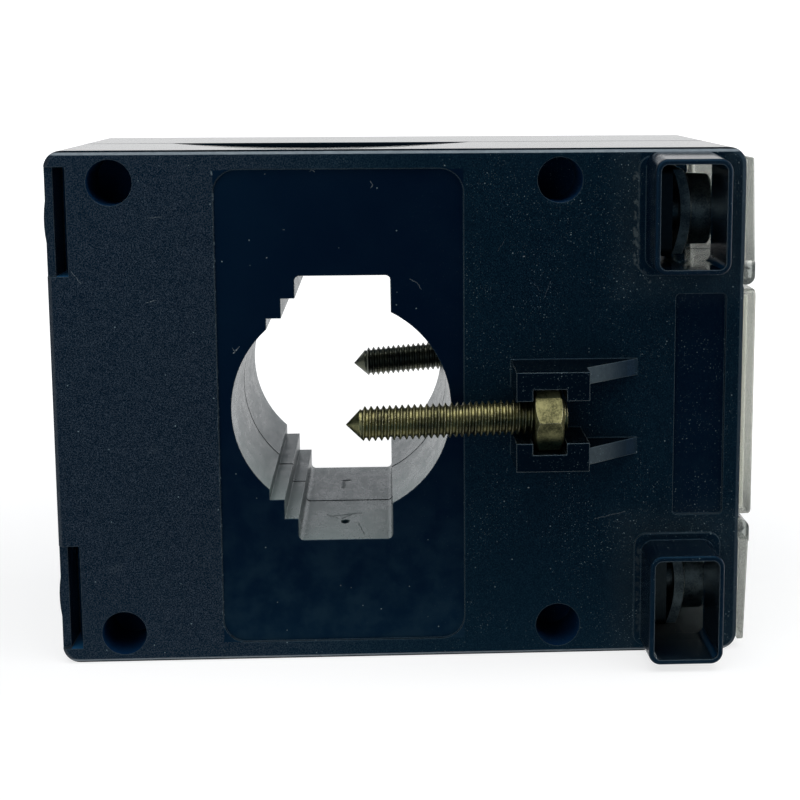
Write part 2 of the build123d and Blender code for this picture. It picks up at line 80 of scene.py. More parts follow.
# Shrouds: centre and half size along X and Z, height over the face, corner radius
shroud_centre = (39.35, 22.6)
shroud_half = (4.3, 6.45)
shroud_height = 6.8
shroud_corner = 1.4
# Round sockets: the middle of their pattern, their distance from it along X and Z, their radius
socket_middle_x = -0.25
socket_reach = (25.5, 26.4)
socket_radius = 2.75
# Foot slots, and the distance from the seam at which the finish of sockets and slots starts
foot_slot_x = (-32.0, -29.4)
foot_slot_z = (15.6, 28.4)
deep_from = 6.0
# Terminal chambers; beyond the third value the case's face lies outside them
chamber_x = (35.7, 46.7)
chamber_z = (16.8, 28.4)
chamber_face_x = 43.0
# Nut pocket: its end, and where the painted light on its gussets fades into the face
pocket_end = 33.0
gusset_light_fade = (33.6, 28.6)
# Flaps and their hinges along Z
flap_start = 13.2
hinge_end = 16.6
# Dark line at the seam, and a painted highlight along the step beside the panel
seam_fade = (0.26, 0.14)
panel_line_fade = (0.16, 0.05)

# Clamp screws and their metric thread: its crest and each flank as shares of the pitch, the
# places along one pitch where the mesh has points, and the number of points round the screw
clamp_radius = 1.98
clamp_length = 25.0
clamp_pitch = 0.7
clamp_chamfer = 0.4
thread_depth = 0.54 * clamp_pitch
crest_share = 0.125
flank_share = 0.3125
thread_shares = (0.0, 0.0625, 0.125, 0.28, 0.4375, 0.5625, 0.6875, 0.84)
thread_around = 40

# Coil: turns of wire shown, and thickness of the core's strip
shown_turns = 210
strip_pitch = 0.3

# Slopes on the shrouds' outer walls: lift off the wall, depth into it, and gap below the rim
brow_lift = 0.01
brow_sink = 0.1
brow_tip_gap = 0.28
brow_steps = 10

# Colours of the case: left and right, or low and high, where there are two; the grain's left and right tones are
# painted light, lit on the left and shaded on the right
hollow_tones_lit_left = ((0.0008, 0.0024, 0.0056), (0.0002, 0.0010, 0.0030))
crest_tones_lit_left = ((0.0480, 0.0560, 0.0680), (0.0200, 0.0560, 0.0780))
panel_tones = ((0.0002, 0.0016, 0.0085), (0.0010, 0.0036, 0.0110))
# Opening: pale tones that are partly painted reflection and partly wear
opening_wear_and_reflection = ((0.066, 0.094, 0.088), (0.150, 0.198, 0.184))
panel_cloud = (0.0055, 0.0120, 0.0190)
# Painted fill light: navy in the chambers, sockets and foot slots
chamber_fill_light = (0.0010, 0.0200, 0.0500)
socket_fill_light = (0.0020, 0.016, 0.052)
foot_slot_fill_light = (0.010, 0.058, 0.130)
# Painted shade: the nut pocket made black
pocket_shade_black = (0.0003, 0.0008, 0.0016)
# Painted light: pale on the gussets' slopes
gusset_light_grey = (0.052, 0.060, 0.057)
haze_grey = (0.14, 0.16, 0.15)
dust_grey = (0.20, 0.26, 0.275)
mark_grey = (0.28, 0.31, 0.31)
# Painted highlights on edges and on the long chamfer
edge_highlight_grey = (0.085, 0.115, 0.125)
opening_edge_highlight_grey = (0.27, 0.32, 0.31)
raised_edge_highlight_grey = (0.17, 0.20, 0.205)
chamfer_highlight_grey = (0.270, 0.300, 0.315)
rim_grey = (0.030, 0.048, 0.062)
# Dark seam and marks, and the painted shade of the dark line at the top edge
dirt_and_shade_black = (0.0010, 0.0016, 0.0020)

# Fibres, scratches and specks on the front face: from X, Z to X, Z, half width and strength
face_marks = (
    (-12.3, 6.7, -11.9, 7.2, 0.08, 0.9), (-11.9, 7.2, -11.6, 7.5, 0.06, 0.7),
    (-12.1, 7.0, -12.45, 7.3, 0.05, 0.6), (-6.3, 20.9, -6.3, 20.9, 0.11, 0.8),
    (-8.3, 17.7, -8.3, 17.7, 0.10, 0.7), (21.7, -9.6, 21.7, -9.6, 0.13, 1.6),
    (-3.3, 27.5, -3.0, 27.7, 0.06, 0.7), (-3.0, 27.7, -2.7, 27.5, 0.06, 0.7),
    (-8.3, 27.3, -8.3, 27.3, 0.12, 0.5), (21.1, 17.7, 21.1, 17.7, 0.12, 0.8),
    (-0.4, -21.2, -0.4, -21.2, 0.12, 0.5), (0.8, -21.5, 0.8, -21.5, 0.10, 0.5),
    (-21.5, 22.4, -19.9, 22.5, 0.05, 0.5), (-22.0, 12.7, -20.6, 13.1, 0.05, 0.5),
    (-30.3, 16.4, -29.2, 15.0, 0.05, 0.5), (18.1, 18.3, 18.9, 19.6, 0.05, 0.25),
    (24.2, 14.8, 23.5, 12.9, 0.05, 0.25), (29.6, -13.5, 33.1, -12.7, 0.06, 0.35),
    (3.6, 26.3, 3.9, 26.0, 0.06, 0.5), (3.9, 26.0, 3.7, 25.6, 0.06, 0.5),
    (8.0, 15.1, 8.9, 14.7, 0.05, 0.5), (8.9, 14.7, 9.3, 13.9, 0.05, 0.5),
    (22.3, 14.5, 23.0, 13.6, 0.05, 0.2), (-26.8, -18.7, -26.2, -18.4, 0.9, 0.05),
    (-22.0, -4.5, -21.6, -4.2, 0.8, 0.04),
)
# Dust gathered beside the shrouds' pads, as the same kind of list
dust_bands = (
    (34.0, 26.9, 34.1, 16.8, 0.5, 0.9), (34.1, 16.8, 35.6, 14.6, 0.4, 0.7),
    (34.8, -17.0, 34.8, -27.0, 0.5, 0.7),
)
# Nick, hook and fine cracks on the lower floor of the bar slot: from X, Y to X, Y
floor_marks = (
    (0.0, -9.9, 0.05, -9.2, 0.60, 1.0), (-0.55, 9.6, -0.6, 6.0, 0.34, 0.22),
    (-0.50, 9.7, 0.05, 9.8, 0.50, 0.36), (-0.4, -8.2, 0.9, -6.4, 0.09, 0.5),
    (1.9, -6.2, -1.4, -6.9, 0.12, 0.5), (-2.3, -6.4, -0.9, -8.0, 0.09, 0.45),
    (-1.9, -7.2, 2.0, -5.6, 0.10, 0.35), (1.6, -10.0, 2.4, -15.0, 0.06, 0.3),
)


def add_object(name, data):
    made = bpy.data.objects.new(name, data)
    bpy.context.scene.collection.objects.link(made)
    return made


def closed_mesh(name, mesh, material):
    """Turns the working mesh into mesh data, its faces looking outwards."""
    bmesh.ops.recalc_face_normals(mesh, faces=mesh.faces)
    data = bpy.data.meshes.new(name)
    mesh.to_mesh(data)
    mesh.free()
    data.materials.append(material)
    return data


class Finish:
    """One procedural material: its nodes are added and linked by short calls."""

    def __init__(self, name, **settings):
        self.material = bpy.data.materials.new(name)
        self.material.use_nodes = True
        self.tree = self.material.node_tree
        self.shader = self.tree.nodes["Principled BSDF"]
        for key, value in settings.items():
            self.shader.inputs[key.replace("_", " ")].default_value = value
        place = self.node("ShaderNodeTexCoord").outputs["Object"]
        self.place = self.vector("SCALE", place, scale=1 / MM)

    def node(self, kind, **settings):
        made = self.tree.nodes.new(kind)
        for key, value in settings.items():
            setattr(made, key, value)
        return made

    def put(self, value, target):
        """Links a socket, or sets a plain value."""
        if isinstance(value, bpy.types.NodeSocket):
            self.tree.links.new(value, target)
        else:
            target.default_value = value

    def calc(self, operation, first, second=0.0, third=0.0, clamp=False):
        made = self.node("ShaderNodeMath", operation=operation, use_clamp=clamp)
        for value, target in zip((first, second, third), made.inputs):
            self.put(value, target)
        return made.outputs[0]

    def chain(self, operation, values):
        """One operation, run along a list of values."""
        total = values[0]
        for value in values[1:]:
            total = self.calc(operation, total, value)
        return total

    def times(self, *values):
        """Product of masks."""
        return self.chain("MULTIPLY", values)

    def plus(self, *values):
        return self.chain("ADD", values)

    def most(self, *values):
        return self.chain("MAXIMUM", values)

    def weighted(self, *pairs):
        """Sum of values, each with its weight."""
        return self.plus(*(self.times(value, weight) for value, weight in pairs))

    def without(self, value):
        return self.calc("SUBTRACT", 1.0, value)

    def absolute(self, value):
        return self.calc("ABSOLUTE", value)

    def above(self, value, limit):
        return self.calc("GREATER_THAN", value, limit)

    def below(self, value, limit):
        return self.calc("LESS_THAN", value, limit)

    def between(self, value, limits):
        return self.times(self.above(value, limits[0]), self.below(value, limits[1]))

    def beyond(self, place, centre, half):
        """How far a place lies outside a span, given by its centre and half its length."""
        return self.calc("SUBTRACT", self.absolute(self.calc("SUBTRACT", place, centre)), half)

    def vector(self, operation, first, second=None, scale=None):
        """A vector sum; a dot product or a length comes back as its number."""
        made = self.node("ShaderNodeVectorMath", operation=operation)
        self.put(first, made.inputs[0])
        if second is not None:
            self.put(second, made.inputs[1])
        if scale is not None:
            self.put(scale, made.inputs["Scale"])
        return made.outputs["Value" if operation in ("DOT_PRODUCT", "LENGTH") else "Vector"]

    def axes(self):
        """The place along X, Y and Z, in millimetres."""
        made = self.node("ShaderNodeSeparateXYZ")
        self.put(self.place, made.inputs[0])
        return made.outputs[0], made.outputs[1], made.outputs[2]

    def from_axis(self, x, z):
        """Distance from the axis of the opening."""
        return self.calc("SQRT", self.plus(self.times(x, x), self.times(z, z)))

    def noise(self, scale, detail=2.0, roughness=0.5, vector=None, distortion=0.0):
        made = self.node("ShaderNodeTexNoise")
        self.put(vector or self.place, made.inputs["Vector"])
        made.inputs["Scale"].default_value = scale
        made.inputs["Detail"].default_value = detail
        made.inputs["Roughness"].default_value = roughness
        made.inputs["Distortion"].default_value = distortion
        return made.outputs["Fac"]

    def stretched(self, x, y, z):
        """The place, drawn out along the axes."""
        return self.vector("MULTIPLY", self.place, (x, y, z))

    def specks(self, scale, outer, inner, rarity):
        """Mask of scattered dots: a cell has one if its random value is above the rarity."""
        made = self.node("ShaderNodeTexVoronoi")
        self.put(self.place, made.inputs["Vector"])
        made.inputs["Scale"].default_value = scale
        split = self.node("ShaderNodeSeparateColor")
        self.put(made.outputs["Color"], split.inputs[0])
        return self.times(self.ramp(made.outputs["Distance"], outer, inner),
                          self.above(split.outputs[0], rarity))

    def ramp(self, value, low, high, start=0.0, end=1.0):
        """Smooth step of a value between two limits."""
        made = self.node("ShaderNodeMapRange", interpolation_type="SMOOTHSTEP")
        for given, target in zip((value, low, high, start, end), made.inputs):
            self.put(given, target)
        return made.outputs["Result"]

    def lerp(self, share, first, second):
        """Blend of two numbers."""
        made = self.node("ShaderNodeMix", data_type="FLOAT")
        targets = (made.inputs[0], made.inputs[2], made.inputs[3])
        for value, target in zip((share, first, second), targets):
            self.put(value, target)
        return made.outputs[0]

    def mix(self, share, first, second):
        """Blend of two colours."""
        made = self.node("ShaderNodeMix", data_type="RGBA")
        self.put(share, made.inputs["Factor"])
        colours = [s for s in made.inputs if s.type == "RGBA"]
        for value, target in zip((first, second), colours):
            self.put(value if isinstance(value, bpy.types.NodeSocket) else (*value, 1.0), target)
        return [s for s in made.outputs if s.type == "RGBA"][0]

    def strokes(self, table, across, wobble, core_share=0.3):
        """Mask of short lines and dots, drawn on the plane that the axis across leaves."""

        def spot(u, v):
            return Vector((u, 0, v) if across == "Y" else (u, v, 0))

        flat = self.vector("MULTIPLY", self.vector("ADD", self.place, wobble), spot(1, 1))
        marks = []
        for u0, v0, u1, v1, width, strength in table:
            start = spot(u0, v0)
            run = spot(u1, v1) - start
            away = self.vector("SUBTRACT", flat, start)
            share = self.vector("DOT_PRODUCT", away, run / max(run.length_squared, TINY))
            share = self.calc("MULTIPLY", share, 1.0, clamp=True)
            gap = self.vector("SUBTRACT", away, self.vector("SCALE", run, scale=share))
            gap = self.vector("LENGTH", gap)
            marks.append(self.ramp(gap, width, core_share * width, 0.0, strength))
        return self.most(*marks)

    def wobble(self, scale, amount):
        """Small wandering shift, for lines that aren't straight."""
        made = self.node("ShaderNodeTexNoise")
        self.put(self.place, made.inputs["Vector"])
        made.inputs["Scale"].default_value = scale
        centred = self.vector("SUBTRACT", made.outputs["Color"], (0.5, 0.5, 0.5))
        return self.vector("SCALE", centred, scale=amount)

    def bump(self, height, depth_mm, strength=1.0, normal=None):
        made = self.node("ShaderNodeBump")
        self.put(strength, made.inputs["Strength"])
        made.inputs["Distance"].default_value = depth_mm * MM
        self.put(height, made.inputs["Height"])
        if normal:
            self.put(normal, made.inputs["Normal"])
        return made.outputs[0]

    def true_normal(self):
        return self.node("ShaderNodeNewGeometry").outputs["True Normal"]

    def rounded(self, radius_mm, samples=4):
        """Softly rounded edges in the shading."""
        made = self.node("ShaderNodeBevel", samples=samples)
        made.inputs["Radius"].default_value = radius_mm * MM
        return made.outputs[0]

    def edges(self, rounded, low, high):
        """Mask of the thin band where an edge is rounded off."""
        straight = self.vector("DOT_PRODUCT", rounded, self.true_normal())
        return self.ramp(self.without(straight), low, high)

    def grazing(self, low, high):
        """Mask that grows as the surface turns away, for gloss."""
        made = self.node("ShaderNodeLayerWeight")
        made.inputs["Blend"].default_value = 0.5
        return self.ramp(made.outputs["Facing"], low, high)

    def set(self, **values):
        for key, value in values.items():
            target = self.shader.inputs[key.replace("_", " ")]
            if key.endswith("Color") and not isinstance(value, bpy.types.NodeSocket):
                value = (*value, 1.0)
            self.put(value, target)
        return self.material


def case_plastic():
    """Bluish black moulding: matt grain, smooth panel, dust round the shrouds, a rubbed opening with painted
    reflection, and painted light and shade.
    """
    f = Finish("case_plastic", Specular_IOR_Level=0.35, Specular_Tint=(0.10, 0.50, 0.95, 1.0))
    shroud_tip = half_depth + shroud_height
    chamfer_y = half_depth - edge_chamfer
    chamfer_z = half_width - edge_chamfer

    # Where on the case a point lies
    x, y, z = f.axes()
    far_x, far_y, far_z = (f.absolute(value) for value in (x, y, z))
    opening = f.times(f.below(f.from_axis(x, z), opening_reach),
                      f.below(far_y, half_depth - 0.45))
    outside = f.without(opening)
    on_face = f.above(far_y, half_depth - face_skin)
    raised = f.ramp(far_y, half_depth + 0.2, half_depth + 0.5)
    panel = f.times(f.below(far_x, panel_half_width - 0.05),
                    f.below(far_z, panel_half_length - 0.05), on_face, outside)
    field = f.times(f.between(x, end_field_x), f.below(far_z, end_field_half_length), on_face,
                    f.below(far_y, half_depth - 0.2))
    smooth = f.most(panel, f.times(field, 0.8), f.times(raised, 0.6))
    turned = f.grazing(0.55, 0.93)
    right = f.ramp(x, -16.0, 16.0)

    # Matt grain, paler on the left as painted light from the left, and the smooth panel with a cloud low down
    grain = f.noise(6.6, 2.0, 0.6)
    coarse = f.noise(1.6, 4.0, 0.6)
    patches = f.noise(0.12, 4.0, 0.6)
    uneven = f.plus(0.35, f.times(coarse, 0.9))
    tone = f.ramp(f.weighted((grain, 0.85), (coarse, 0.15)), 0.38, 0.74)
    # Painted light: the grain is fainter towards the right
    tone = f.times(tone, f.lerp(right, 0.92, 0.30))
    colour = f.mix(tone, f.mix(right, *hollow_tones_lit_left), f.mix(right, *crest_tones_lit_left))
    cloud = f.times(f.ramp(f.noise(0.3, 4.0, 0.6), 0.35, 0.7), f.ramp(z, 5.0, -25.0))
    panel_tone = f.ramp(f.weighted((patches, 0.7), (grain, 0.3)), 0.35, 0.7)
    panel_tone = f.mix(cloud, f.mix(panel_tone, *panel_tones), panel_cloud)
    colour = f.mix(smooth, colour, panel_tone)

    # Chambers, sockets and foot slots painted navy as fill light, the nut pocket painted black as shade, and its
    # slopes painted paler as light
    inner = f.times(f.between(x, chamber_x), f.between(far_z, chamber_z),
                    f.without(f.times(on_face, f.above(x, chamber_face_x))),
                    f.below(far_y, shroud_tip - 0.4))
    colour = f.mix(inner, colour, chamber_fill_light)
    socket_x = f.beyond(x, socket_middle_x, socket_reach[0])
    socket_z = f.calc("SUBTRACT", far_z, socket_reach[1])
    from_socket = f.plus(f.calc("POWER", socket_x, 2.0), f.calc("POWER", socket_z, 2.0))
    foot = f.times(f.between(x, foot_slot_x), f.between(far_z, foot_slot_z))
    deep = f.times(f.most(f.below(from_socket, socket_radius ** 2), foot),
                   f.below(far_y, half_depth - 0.1), f.above(far_y, deep_from))
    colour = f.mix(deep, colour, f.mix(foot, socket_fill_light, foot_slot_fill_light))
    colour = f.mix(f.times(raised, f.below(x, pocket_end)), colour, pocket_shade_black)
    # Painted light: slopes facing the terminal end are paler, fading towards the pocket's end
    towards_end = f.vector("DOT_PRODUCT", f.true_normal(), (1, 0, 0))
    slope_light = f.times(f.ramp(towards_end, 0.2, 0.3), f.ramp(towards_end, 0.99, 0.95),
                    f.ramp(x, *gusset_light_fade), f.ramp(far_y, half_depth - 0.5, half_depth + 2.5),
                    uneven)
    colour = f.mix(slope_light, colour, gusset_light_grey)

    # Opening: pale tones, partly painted reflection and partly rubbing along its axis, with hair lines, palest at
    # the lower left
    film = f.noise(0.35, 5.0, 0.65)
    rub = f.noise(0.8, 4.0, 0.6, vector=f.stretched(1.0, 0.25, 1.0), distortion=0.4)
    fine_rub = f.noise(3.0, 3.0, 0.6, vector=f.stretched(1.0, 0.3, 1.0))
    worn_and_reflected = f.ramp(f.weighted((film, 0.40), (rub, 0.30), (fine_rub, 0.30)), 0.30, 0.70)
    worn_and_reflected = f.plus(worn_and_reflected, f.times(f.ramp(x, -3.0, -11.0), f.ramp(z, -3.0, -11.0), 0.6))
    hair = f.noise(1.0, 2.0, 0.5, vector=f.stretched(9.0, 0.5, 9.0), distortion=0.3)
    hair = f.times(f.ramp(hair, 0.60, 0.68), 0.5)
    colour = f.mix(opening, colour, f.mix(f.most(worn_and_reflected, hair), *opening_wear_and_reflection))

    # Dust: specks of three sizes, gathered round the shrouds and on the right, haze and bands
    speck = f.specks(2.6, 0.20, 0.08, 0.72)
    fine_speck = f.specks(5.5, 0.26, 0.10, 0.55)
    lone_speck = f.specks(0.9, 0.09, 0.05, 0.80)
    from_shroud = f.most(f.beyond(x, shroud_centre[0], shroud_half[0]),
                         f.beyond(far_z, shroud_centre[1], shroud_half[1]))
    ring = f.times(f.ramp(from_shroud, 0.3, 1.0), f.ramp(from_shroud, 5.5, 1.2))
    wide = f.times(right, f.ramp(patches, 0.36, 0.62), 0.75)
    dusty = f.calc("ADD", wide, f.times(ring, f.ramp(patches, 0.34, 0.58)), clamp=True)
    bands = f.times(f.strokes(dust_bands, "Y", f.wobble(0.8, 0.6)), f.ramp(coarse, 0.42, 0.62))
    matt = f.times(outside, f.without(f.times(panel, 0.9)))
    dust = f.times(f.most(speck, f.times(fine_speck, 0.6)), dusty, matt)
    dust = f.most(dust, f.times(lone_speck, outside, 0.7))
    haze = f.most(f.times(ring, f.noise(0.9, 5.0, 0.7), 0.10), f.times(bands, 0.50))
    haze = f.times(haze, matt, f.without(raised))
    # Painted highlight: a broken pale line along the panel's left step
    panel_line = f.absolute(f.calc("ADD", x, panel_half_width))
    panel_step_highlight = f.times(f.ramp(panel_line, *panel_line_fade),
                    f.ramp(f.noise(1.8, 3.0, 0.6), 0.58, 0.68), on_face, 0.5)
    marks = f.times(f.strokes(face_marks, "Y", f.wobble(2.5, 0.35)),
                    f.below(y, face_skin - half_depth), f.ramp(grain, 0.30, 0.60), 0.8)
    colour = f.mix(haze, colour, haze_grey)
    # Dust, and the painted highlight along the panel's step, in the dust's grey
    colour = f.mix(f.most(dust, panel_step_highlight), colour, dust_grey)
    colour = f.mix(marks, colour, mark_grey)

    # Painted highlights: pale edges, paler in the opening and on raised parts, and a pale band along the long
    # chamfer
    rounded = f.rounded(0.2)
    edge = f.times(f.edges(rounded, 0.02, 0.22), uneven)
    below_top = f.ramp(far_z, half_width - 0.09, half_width - 0.14)
    colour = f.mix(f.times(edge, f.lerp(opening, 0.7, 0.6), below_top), colour,
                   f.mix(opening, edge_highlight_grey, opening_edge_highlight_grey))
    high = f.ramp(far_y, half_depth + 2.0, half_depth + 4.5)
    colour = f.mix(f.times(edge, high, 0.7), colour, raised_edge_highlight_grey)
    chamfer_highlight = f.times(f.ramp(far_z, chamfer_z - 0.03, chamfer_z + 0.05),
                    f.ramp(far_y, chamfer_y - 0.05, chamfer_y + 0.1), outside, below_top)
    colour = f.mix(f.times(chamfer_highlight, f.plus(0.5, f.times(coarse, 0.6))), colour, chamfer_highlight_grey)
    rim = f.times(f.ramp(far_y, shroud_tip - 0.35, shroud_tip - 0.15),
                  f.above(x, end_field_x[0] - 5.0))
    colour = f.mix(f.times(rim, f.ramp(z, 0.0, 20.0), 0.08), colour, rim_grey)

    # Dark seam, marks on the slot's floor, and painted shade as a dark line at the top edge
    seam = f.ramp(far_y, *seam_fade)
    nick = f.times(f.strokes(floor_marks, "Z", f.wobble(1.2, 0.3)), f.below(z, 0.0), opening)
    top_edge_shade = f.times(f.ramp(far_z, half_width - 0.22, half_width - 0.15),
                    f.ramp(far_y, chamfer_y - 0.16, chamfer_y - 0.10), outside)
    dirt_and_shade = f.most(seam, nick, top_edge_shade)
    colour = f.mix(dirt_and_shade, colour, dirt_and_shade_black)

    # Gloss, higher where the surface turns away, and relief
    rough = f.plus(0.46, f.times(grain, 0.16))
    rough = f.lerp(smooth, rough, 0.36)
    rough = f.lerp(inner, rough, 0.42)
    rough = f.lerp(turned, rough, 0.13)
    rough = f.lerp(opening, rough, f.plus(0.20, f.times(worn_and_reflected, 0.16)))
    rough = f.lerp(f.most(dirt_and_shade, deep), rough, 1.0)
    relief = f.weighted((grain, 0.8), (coarse, 0.2))
    strength = f.times(f.without(f.times(turned, 0.85)), f.lerp(smooth, 0.6, 0.15))
    normal = f.bump(relief, 0.05, strength, normal=rounded)
    normal = f.bump(f.without(dirt_and_shade), 0.2, 1.0, normal=normal)
    return f.set(Base_Color=colour, Roughness=rough, Normal=normal)


def plated_steel(name, colour, dull, roughness, edge_highlight):
    """Zinc plated steel: uneven, duller in places, with painted highlights on its edges and painted shade at the
    rear.
    """
    f = Finish(name, Metallic=1.0)
    patches = f.noise(0.5, 4.0, 0.65)
    fine = f.noise(5.0, 3.0, 0.6)
    tone = f.ramp(f.weighted((patches, 0.65), (fine, 0.35)), 0.36, 0.64)
    rounded = f.rounded(0.1)
    edge = f.edges(rounded, 0.02, 0.25)
    # Painted highlight: the edges take the lighter colour
    base = f.mix(f.times(edge, 0.9), f.mix(tone, dull, colour), edge_highlight)
    _, y, _ = f.axes()
    # Painted shade: the parts at the rear are darker
    base = f.mix(f.times(f.ramp(y, 15.0, 16.0), 0.75), base, (0.035, 0.050, 0.060))
    rough = f.plus(roughness, f.times(fine, 0.22))
    relief = f.weighted((fine, 0.6), (patches, 0.4))
    return f.set(Base_Color=base, Roughness=rough,
                 Normal=f.bump(relief, 0.03, 0.6, normal=rounded))


def clear_cover():
    """Clear moulded cover, milky with age and fine scratches; flaps are darker, and the hinges carry painted shade
    where the black case shows through.
    """
    f = Finish("clear_cover", Transmission_Weight=0.80, IOR=1.49)
    haze = f.noise(0.25, 4.0, 0.6)
    fine = f.noise(2.5, 3.0, 0.6)
    cloud = f.ramp(f.weighted((haze, 0.8), (fine, 0.2)), 0.3, 0.7)
    _, _, z = f.axes()
    far_z = f.absolute(z)
    flap = f.ramp(far_z, flap_start, flap_start + 0.3)
    hinge_shade = f.times(flap, f.ramp(far_z, hinge_end, hinge_end - 0.3))
    colour = f.mix(cloud, (0.90, 0.915, 0.85), (0.96, 0.97, 0.91))
    colour = f.mix(f.times(flap, 0.25), colour, (0.56, 0.60, 0.56))
    # Painted shade: the hinges darker, where the black case shows through
    return f.set(Base_Color=f.mix(f.times(hinge_shade, 0.6), colour, (0.16, 0.19, 0.185)),
                 Roughness=f.plus(0.17, f.times(fine, 0.1)),
                 Normal=f.bump(fine, 0.01, 0.2, normal=f.rounded(0.12)))


def plain(name, first, second, scale, roughness, depth=0.03, metallic=0.0):
    """Two tones mixed by a noise, with a fine relief."""
    f = Finish(name, Metallic=metallic)
    tone = f.noise(scale, 5.0, 0.6)
    return f.set(Base_Color=f.mix(tone, first, second),
                 Roughness=f.plus(roughness - 0.05, f.times(tone, 0.1)),
                 Normal=f.bump(tone, depth, 0.6))


def wound_wire():
    """Enamelled copper turns laid side by side round the ring."""
    f = Finish("copper_wire", Metallic=0.85)
    x, _, z = f.axes()
    turn = f.times(f.calc("ARCTAN2", z, x), shown_turns / (2 * math.pi))
    wave = f.absolute(f.calc("SINE", f.times(turn, math.pi)))
    tone = f.noise(1.5, 3.0)
    bright = f.times(wave, f.plus(0.4, f.times(tone, 0.6)))
    return f.set(Base_Color=f.mix(bright, (0.16, 0.05, 0.02), (0.68, 0.27, 0.10)),
                 Roughness=f.plus(0.22, f.times(tone, 0.15)), Normal=f.bump(wave, 0.25, 0.8))


def wound_strip():
    """Edges of the core's wound steel strip."""
    f = Finish("core_steel", Metallic=1.0)
    x, _, z = f.axes()
    layer = f.absolute(f.calc("SINE", f.times(f.from_axis(x, z), math.pi / strip_pitch)))
    tone = f.noise(2.0, 3.0)
    return f.set(Base_Color=f.mix(f.times(layer, tone), (0.20, 0.21, 0.23), (0.50, 0.51, 0.53)),
                 Roughness=f.plus(0.3, f.times(tone, 0.2)), Normal=f.bump(layer, 0.05, 0.6))


finishes = {
    "case_plastic": case_plastic(),
    "plated_steel": plated_steel("plated_steel", (0.36, 0.335, 0.155), (0.075, 0.074, 0.036),
                                 0.24, (0.74, 0.69, 0.48)),
    "terminal_steel": plated_steel("terminal_steel", (0.24, 0.29, 0.28), (0.06, 0.08, 0.09),
                                   0.34, (0.62, 0.66, 0.62)),
    # Terminal bar: dark bluish grey instead of brass, as painted shade
    "terminal_brass": plain("terminal_brass", (0.022, 0.032, 0.036), (0.070, 0.085, 0.085),
                            1.2, 0.45, metallic=1.0),
    "core_steel": wound_strip(),
    "copper_wire": wound_wire(),
    "cup_plastic": plain("cup_plastic", (0.70, 0.66, 0.54), (0.78, 0.75, 0.64), 0.8, 0.5),
    "tape": plain("tape", (0.62, 0.48, 0.10), (0.74, 0.60, 0.18), 0.5, 0.35, 0.08),
    "pad_foam": plain("pad_foam", (0.03, 0.03, 0.03), (0.07, 0.07, 0.07), 3.0, 0.9, 0.2),
    "lead_sleeve": plain("lead_sleeve", (0.45, 0.05, 0.04), (0.58, 0.08, 0.06), 1.0, 0.4),
    "clear_cover": clear_cover(),
    "plate_card": plain("plate_card", (0.70, 0.69, 0.60), (0.80, 0.79, 0.70), 0.6, 0.6),
}
for part in frame["record"]["subparts"]:
    data = nodes[part["node"]].data
    data.materials.clear()
    data.materials.append(finishes[part["material_slot"]])


def thread_radius(share):
    """Radius along one pitch of a metric thread: flat crest, flank, flat root, flank."""
    if share < crest_share:
        return clamp_radius
    if share < crest_share + flank_share:
        return clamp_radius - thread_depth * (share - crest_share) / flank_share
    if share < 1 - flank_share:
        return clamp_radius - thread_depth
    return clamp_radius - thread_depth * (1 - share) / flank_share


def thread_row(mesh, turn, back, along, side, up):
    """Points once round the screw, which climb by one pitch."""
    row = []
    for k in range(thread_around):
        angle = 2 * math.pi * k / thread_around
        s = (turn + k / thread_around) * clamp_pitch
        s = min(max(s, 0.0), clamp_length)
        phase = (s / clamp_pitch - k / thread_around) % 1.0
        limit = min(clamp_radius - clamp_chamfer + s, clamp_length - s)
        radius = min(thread_radius(phase), max(limit, 0.0))
        outwards = side * math.cos(angle) + up * math.sin(angle)
        row.append(mesh.verts.new(back + along * (s * MM) + outwards * radius * MM))
    return row


def threaded_screw(name, node, body):
    """Set screw with a cone point and a thread, on the axis of the solid that it replaces."""
    joint = next(j for j in frame["joints"] if j["child"] == body)
    along = -Vector(joint["axis"]).normalized()
    low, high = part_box(node)
    back = (low + high) / 2 - along * (clamp_length / 2 * MM)
    side = along.cross(Vector((0, 1, 0))).normalized()
    up = side.cross(along).normalized()
    mesh = bmesh.new()
    turns = range(-1, int(clamp_length / clamp_pitch) + 3)
    rows = [thread_row(mesh, turn + share, back, along, side, up)
            for turn in turns for share in thread_shares]

    def point(i, k):
        """The k-th point of a row; past its end, the first point one turn on."""
        if k == thread_around:
            i, k = i + len(thread_shares), 0
        return rows[i][k] if i < len(rows) else None

    for i in range(len(rows)):
        for k in range(thread_around):
            corners = (point(i, k), point(i, k + 1), point(i + 1, k + 1), point(i + 1, k))
            if all(corners):
                mesh.faces.new(corners)
    bmesh.ops.remove_doubles(mesh, verts=mesh.verts, dist=TINY)
    bmesh.ops.dissolve_degenerate(mesh, dist=TINY, edges=mesh.edges)
    bmesh.ops.holes_fill(mesh, edges=[e for e in mesh.edges if e.is_boundary], sides=0)
    screw = add_object(name, closed_mesh(name, mesh, finishes["plated_steel"]))
    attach(screw, body)
    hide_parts(node)


for face in ("front", "rear"):
    threaded_screw(f"threaded_screw_{face}", f"clamp_screw_{face}", f"clamp_{face}")


